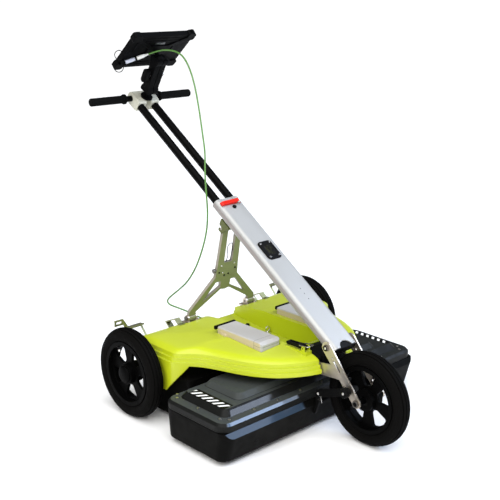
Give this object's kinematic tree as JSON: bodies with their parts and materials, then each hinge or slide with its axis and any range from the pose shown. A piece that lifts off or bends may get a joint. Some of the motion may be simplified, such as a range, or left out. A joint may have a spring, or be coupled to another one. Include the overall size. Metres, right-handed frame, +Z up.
{
  "type": "ground penetrating radar",
  "caption": "Three-wheeled push cart with a flat antenna box between its wheels, a lime cover with battery packs, a folding telescopic mast and a tablet on a ball mount.",
  "frame": {"origin": "on the floor, in the middle of the cart's width and length, measured from the antenna box and from the front tyre to the rear of the handle block", "axes": "+Z up, the cart rolls towards -Y, its left side is +X"},
  "size_m": [0.934, 1.3412, 1.2695],
  "materials": {
    "tyre": "ribbed",
    "rim_black": "moulded",
    "steel": "plain",
    "fork_steel": "satin",
    "frame_black": "matt",
    "lime": "smooth moulded",
    "black_plastic": "fine texture",
    "box_plastic": "satin",
    "mast_silver": "anodised",
    "tube_black": "anodised",
    "block_grey": "satin",
    "grip_rubber": "soft",
    "lever_red": "glossy",
    "stay_olive": "chromated",
    "battery_grey": "fine texture",
    "tablet_black": "textured",
    "screen": "glossy",
    "cable_green": "smooth",
    "plug_grey": "smooth",
    "electronics": "plain"
  },
  "bodies": {
    "chassis": {"chassis_frame": "frame_black", "rear_axle": "steel", "front_axle": "steel", "frame_fasteners": "steel", "left_fork_plate": "fork_steel", "right_fork_plate": "fork_steel", "hinge_housing": "black_plastic", "body_cover": "lime", "stay_feet": "steel", "lift_handles": "stay_olive", "rear_handles": "steel", "cable_socket": "black_plastic", "control_unit": "electronics", "pivot_knobs": "black_plastic", "cable_lower": "cable_green"},
    "right_wheel": {"right_tyre": "tyre", "right_rim": "rim_black", "right_bearings": "steel"},
    "left_wheel": {"left_tyre": "tyre", "left_rim": "rim_black", "left_bearings": "steel"},
    "front_wheel": {"front_tyre": "tyre", "front_rim": "rim_black", "front_bearings": "steel"},
    "antenna": {"antenna_tub": "box_plastic", "antenna_lid": "box_plastic", "lid_screws": "steel", "antenna_array": "electronics", "link_arms": "frame_black"},
    "mast": {"mast_extrusion": "mast_silver", "mast_guide": "mast_silver", "mast_end_plug": "black_plastic", "mast_cover_plate": "black_plastic", "mast_screws": "steel", "stay_hooks": "frame_black"},
    "lever": {"clamp_lever": "lever_red"},
    "handle": {"handle_tubes": "tube_black", "tube_glides": "black_plastic", "handle_block": "block_grey", "handle_bar": "tube_black", "handle_grips": "grip_rubber", "ball_base": "black_plastic", "cable_middle": "cable_green"},
    "arm": {"socket_arm": "black_plastic", "arm_bolt": "steel", "cable_upper": "cable_green"},
    "knob": {"arm_knob": "black_plastic"},
    "tablet": {"tablet_cradle": "black_plastic", "tablet_case": "tablet_black", "tablet_screen": "screen", "cable_plug": "plug_grey", "cable_end": "cable_green"},
    "key": {"power_key": "black_plastic"},
    "stay": {"stay_lower": "stay_olive", "stay_upper": "stay_olive", "lanyard": "steel"},
    "pin": {"lock_pin": "steel"},
    "left_pack": {"left_battery": "battery_grey"},
    "right_pack": {"right_battery": "battery_grey"},
    "latch": {"latch_lever": "black_plastic"}
  },
  "joints": [
    {"name": "right_wheel_spin", "type": "hinge", "parent": "chassis", "child": "right_wheel", "pos_m": [-0.4295, 0.17715, 0.1575], "axis": [1, 0, 0], "continuous": true},
    {"name": "left_wheel_spin", "type": "hinge", "parent": "chassis", "child": "left_wheel", "pos_m": [0.4295, 0.17715, 0.1575], "axis": [1, 0, 0], "continuous": true},
    {"name": "front_wheel_spin", "type": "hinge", "parent": "chassis", "child": "front_wheel", "pos_m": [0, -0.51315, 0.1575], "axis": [1, 0, 0], "continuous": true},
    {"name": "antenna_float", "type": "hinge", "parent": "chassis", "child": "antenna", "pos_m": [0, -0.47885, 0.189], "axis": [1, 0, 0], "range_deg": [0, 2.4]},
    {"name": "mast_fold", "type": "hinge", "parent": "chassis", "child": "mast", "pos_m": [0, -0.38225, 0.3095], "axis": [-1, 0, 0], "range_deg": [0, 34], "deforming": ["cable_lower"]},
    {"name": "stay_fold", "type": "hinge", "parent": "chassis", "child": "stay", "pos_m": [0, 0.19915, 0.279], "axis": [-1, 0, 0], "range_deg": [0, 105.9]},
    {"name": "clamp_lever_turn", "type": "hinge", "parent": "mast", "child": "lever", "pos_m": [0.028, 0.13427, 0.69508], "axis": [0, 0.8257, 0.5641], "range_deg": [0, 100]},
    {"name": "handle_slide", "type": "slide", "parent": "mast", "child": "handle", "axis": [0, -0.8257, -0.5641], "range_m": [0, 0.38], "deforming": ["cable_middle"]},
    {"name": "arm_tilt", "type": "hinge", "parent": "handle", "child": "arm", "pos_m": [0, 0.59415, 1.05], "axis": [1, 0, 0], "range_deg": [-20, 20], "deforming": ["cable_upper"]},
    {"name": "arm_knob_turn", "type": "hinge", "parent": "arm", "child": "knob", "pos_m": [0, 0.56126, 1.1066], "axis": [1, 0, 0], "continuous": true},
    {"name": "tablet_tilt", "type": "hinge", "parent": "arm", "child": "tablet", "pos_m": [0, 0.52838, 1.16319], "axis": [1, 0, 0], "range_deg": [-20, 20], "deforming": ["cable_end"]},
    {"name": "power_key_press", "type": "slide", "parent": "tablet", "child": "key", "axis": [0, -0.6475, -0.7621], "range_m": [0, 0.0008], "stiffness_N_per_m": 800},
    {"name": "left_battery_lift", "type": "slide", "parent": "chassis", "child": "left_pack", "axis": [0, 0, 1], "range_m": [0, 0.1]},
    {"name": "right_battery_lift", "type": "slide", "parent": "chassis", "child": "right_pack", "axis": [0, 0, 1], "range_m": [0, 0.1]},
    {"name": "latch_turn", "type": "hinge", "parent": "chassis", "child": "latch", "pos_m": [-0.081, -0.30885, 0.294], "axis": [1, 0, 0], "range_deg": [0, 110]},
    {"name": "lock_pin_pull", "type": "slide", "parent": "stay", "child": "pin", "axis": [-1, 0, 0], "range_m": [0, 0.034]}
  ],
  "couplings": [
    {"joint": "stay_fold", "follows": "mast_fold", "ratio": 3.1}
  ]
}
